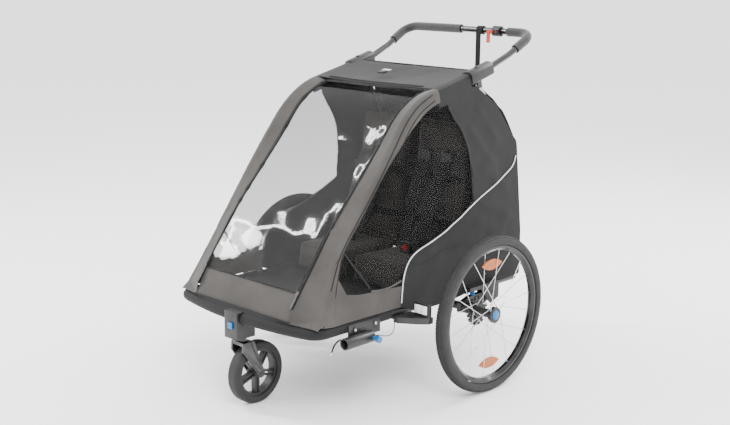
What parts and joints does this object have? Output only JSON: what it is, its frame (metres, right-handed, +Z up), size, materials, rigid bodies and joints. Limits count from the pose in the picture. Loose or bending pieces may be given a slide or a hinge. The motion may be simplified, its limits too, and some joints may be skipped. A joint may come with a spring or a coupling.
{
  "type": "child bicycle trailer",
  "caption": "Child bicycle trailer with a hooped cabin, sprung spoked wheels, a swivel front wheel, a sliding push handle and a side drawbar receiver.",
  "frame": {"origin": "on the ground, on the centre line, midway between the front and the rear end", "axes": "+X is the trailer's left side, -Y is forwards, +Z is up"},
  "size_m": [0.8972, 1.0574, 1.06],
  "materials": {
    "frame_tube": "satin charcoal powder coat",
    "bracket": "satin black",
    "rail_sleeve": "closed-cell foam under a fabric sleeve",
    "floor": "coated board",
    "guard": "moulded, fine grain",
    "seat_fabric": "padded grey-brown polyester",
    "webbing": "black webbing and pads",
    "black_plastic": "moulded black",
    "release_red": "red push button",
    "side_fabric": "black woven polyester",
    "window_mesh": "fine black mesh behind clear film",
    "rear_fabric": "charcoal woven polyester",
    "roof_fabric": "charcoal woven polyester",
    "cover_fabric": "warm grey woven polyester",
    "clear_film": "soft clear film",
    "cord": "braided cord",
    "silver_metal": "satin",
    "elastomer": "soft blue elastomer",
    "axle_metal": "satin black",
    "tyre": "block tread",
    "rim_black": "black anodised",
    "spoke_steel": "bright",
    "reflector": "amber lens",
    "blue_accent": "cyan-blue button",
    "fork_black": "gloss black moulding",
    "foam_grip": "matt dark foam",
    "handle_black": "gloss black",
    "lever_orange": "orange-red lever"
  },
  "bodies": {
    "chassis": {"base_tube": "frame_tube", "cross_tubes": "frame_tube", "bumper_sleeve": "rail_sleeve", "floor_board": "floor", "hinge_lugs": "frame_tube", "suspension_brackets": "bracket", "drawbar_receiver": "bracket", "wheel_guards": "guard", "head_block": "black_plastic", "seat_cushions": "seat_fabric", "seat_backs": "seat_fabric", "harness_straps": "webbing", "buckles": "black_plastic", "side_panels": "side_fabric", "side_windows": "window_mesh", "rear_cover": "rear_fabric", "tether_cord": "cord", "tipped_cord": "cord", "cord_tip": "silver_metal", "elastomer_springs": "elastomer"},
    "swing_arm": {"swing_axle": "axle_metal"},
    "wheel_left": {"tyre_left": "tyre", "rim_left": "rim_black", "spokes_left": "spoke_steel", "hub_left": "black_plastic", "wheel_reflectors_left": "reflector"},
    "hub_button_left": {"hub_button_left": "blue_accent"},
    "brake_pawl_left": {"brake_pawl_left": "silver_metal"},
    "wheel_right": {"tyre_right": "tyre", "rim_right": "rim_black", "spokes_right": "spoke_steel", "hub_right": "black_plastic", "wheel_reflectors_right": "reflector"},
    "hub_button_right": {"hub_button_right": "blue_accent"},
    "brake_pawl_right": {"brake_pawl_right": "silver_metal"},
    "caster_fork": {"caster_fork": "fork_black"},
    "caster_wheel": {"caster_tyre": "tyre", "caster_rim": "black_plastic"},
    "head_button": {"head_button": "blue_accent"},
    "hoop": {"hoop_tubes": "frame_tube", "hoop_cross_tube": "frame_tube", "handle_receivers": "black_plastic", "hoop_covers": "cover_fabric", "roof_cover": "roof_fabric", "front_window": "clear_film", "front_panel": "cover_fabric"},
    "receiver_button_left": {"receiver_button_left": "black_plastic"},
    "receiver_button_right": {"receiver_button_right": "black_plastic"},
    "zip_slider_left": {"zip_slider_left": "black_plastic"},
    "zip_slider_right": {"zip_slider_right": "black_plastic"},
    "handle": {"handle_tube": "handle_black", "handle_grips": "foam_grip", "lever_clamp": "black_plastic", "wrist_strap": "webbing"},
    "brake_lever": {"brake_lever": "lever_orange"},
    "rear_frame": {"rear_frame": "frame_tube"},
    "stays": {"stays": "silver_metal"},
    "drawbar_pin": {"drawbar_pin": "blue_accent"},
    "buckle_button_left": {"buckle_button_left": "release_red"},
    "buckle_button_right": {"buckle_button_right": "release_red"}
  },
  "joints": [
    {"name": "suspension", "type": "hinge", "parent": "chassis", "child": "swing_arm", "pos_m": [0, 0.26525, 0.26], "axis": [-1, 0, 0], "range_deg": [0, 4], "stiffness_Nm_per_rad": 400, "springref_deg": -3.44, "deforming": ["elastomer_springs"]},
    {"name": "wheel_spin_left", "type": "hinge", "parent": "swing_arm", "child": "wheel_left", "pos_m": [0.4225, 0.13025, 0.24], "axis": [1, 0, 0], "continuous": true},
    {"name": "hub_button_press_left", "type": "slide", "parent": "wheel_left", "child": "hub_button_left", "axis": [-1, 0, 0], "range_m": [0, 0.003], "stiffness_N_per_m": 400},
    {"name": "brake_pawl_left", "type": "slide", "parent": "swing_arm", "child": "brake_pawl_left", "axis": [1, 0, 0], "range_m": [0, 0.006]},
    {"name": "wheel_spin_right", "type": "hinge", "parent": "swing_arm", "child": "wheel_right", "pos_m": [-0.4225, 0.13025, 0.24], "axis": [1, 0, 0], "continuous": true},
    {"name": "hub_button_press_right", "type": "slide", "parent": "wheel_right", "child": "hub_button_right", "axis": [1, 0, 0], "range_m": [0, 0.003], "stiffness_N_per_m": 400},
    {"name": "brake_pawl_right", "type": "slide", "parent": "swing_arm", "child": "brake_pawl_right", "axis": [-1, 0, 0], "range_m": [0, 0.006]},
    {"name": "caster_swivel", "type": "hinge", "parent": "chassis", "child": "caster_fork", "pos_m": [0, -0.48175, 0.215], "axis": [0, 0, 1], "continuous": true},
    {"name": "caster_spin", "type": "hinge", "parent": "caster_fork", "child": "caster_wheel", "pos_m": [0, -0.43475, 0.094], "axis": [1, 0, 0], "continuous": true},
    {"name": "head_button_press", "type": "slide", "parent": "chassis", "child": "head_button", "axis": [0, 1, 0], "range_m": [0, 0.003], "stiffness_N_per_m": 400},
    {"name": "hoop_fold", "type": "hinge", "parent": "chassis", "child": "hoop", "pos_m": [0, -0.43775, 0.306], "axis": [-1, 0, 0], "range_deg": [0, 36], "deforming": ["side_panels", "side_windows", "rear_cover", "seat_backs", "harness_straps"]},
    {"name": "rear_frame_fold", "type": "hinge", "parent": "chassis", "child": "rear_frame", "pos_m": [0, 0.39825, 0.306], "axis": [1, 0, 0], "range_deg": [0, 75]},
    {"name": "stay_fold", "type": "hinge", "parent": "hoop", "child": "stays", "pos_m": [0, 0.26765, 0.8997], "axis": [-1, 0, 0], "range_deg": [0, 108]},
    {"name": "handle_slide", "type": "slide", "parent": "hoop", "child": "handle", "axis": [0, 0.9681, 0.2504], "range_m": [0, 0.065]},
    {"name": "receiver_button_press_left", "type": "slide", "parent": "hoop", "child": "receiver_button_left", "axis": [0, 0.2504, -0.9681], "range_m": [0, 0.003], "stiffness_N_per_m": 400},
    {"name": "receiver_button_press_right", "type": "slide", "parent": "hoop", "child": "receiver_button_right", "axis": [0, 0.2504, -0.9681], "range_m": [0, 0.003], "stiffness_N_per_m": 400},
    {"name": "zip_left", "type": "slide", "parent": "hoop", "child": "zip_slider_left", "axis": [0, 0.5987, 0.8009], "range_m": [0, 0.08]},
    {"name": "zip_right", "type": "slide", "parent": "hoop", "child": "zip_slider_right", "axis": [0, 0.5987, 0.8009], "range_m": [0, 0.08]},
    {"name": "brake_lever_pull", "type": "hinge", "parent": "handle", "child": "brake_lever", "pos_m": [0.126, 0.48225, 1.043], "axis": [1, 0, 0], "range_deg": [0, 25], "stiffness_Nm_per_rad": 0.4},
    {"name": "drawbar_pin_push", "type": "slide", "parent": "chassis", "child": "drawbar_pin", "axis": [-1, 0, 0], "range_m": [0, 0.01], "stiffness_N_per_m": 400},
    {"name": "buckle_press_left", "type": "slide", "parent": "chassis", "child": "buckle_button_left", "axis": [0, 1, 0], "range_m": [0, 0.003], "stiffness_N_per_m": 400},
    {"name": "buckle_press_right", "type": "slide", "parent": "chassis", "child": "buckle_button_right", "axis": [0, 1, 0], "range_m": [0, 0.003], "stiffness_N_per_m": 400}
  ],
  "couplings": [
    {"joint": "rear_frame_fold", "follows": "hoop_fold", "ratio": 2.0833},
    {"joint": "stay_fold", "follows": "hoop_fold", "ratio": 3},
    {"joint": "brake_pawl_left", "follows": "brake_lever_pull", "m_per_rad": 0.013751},
    {"joint": "brake_pawl_right", "follows": "brake_lever_pull", "m_per_rad": 0.013751}
  ]
}
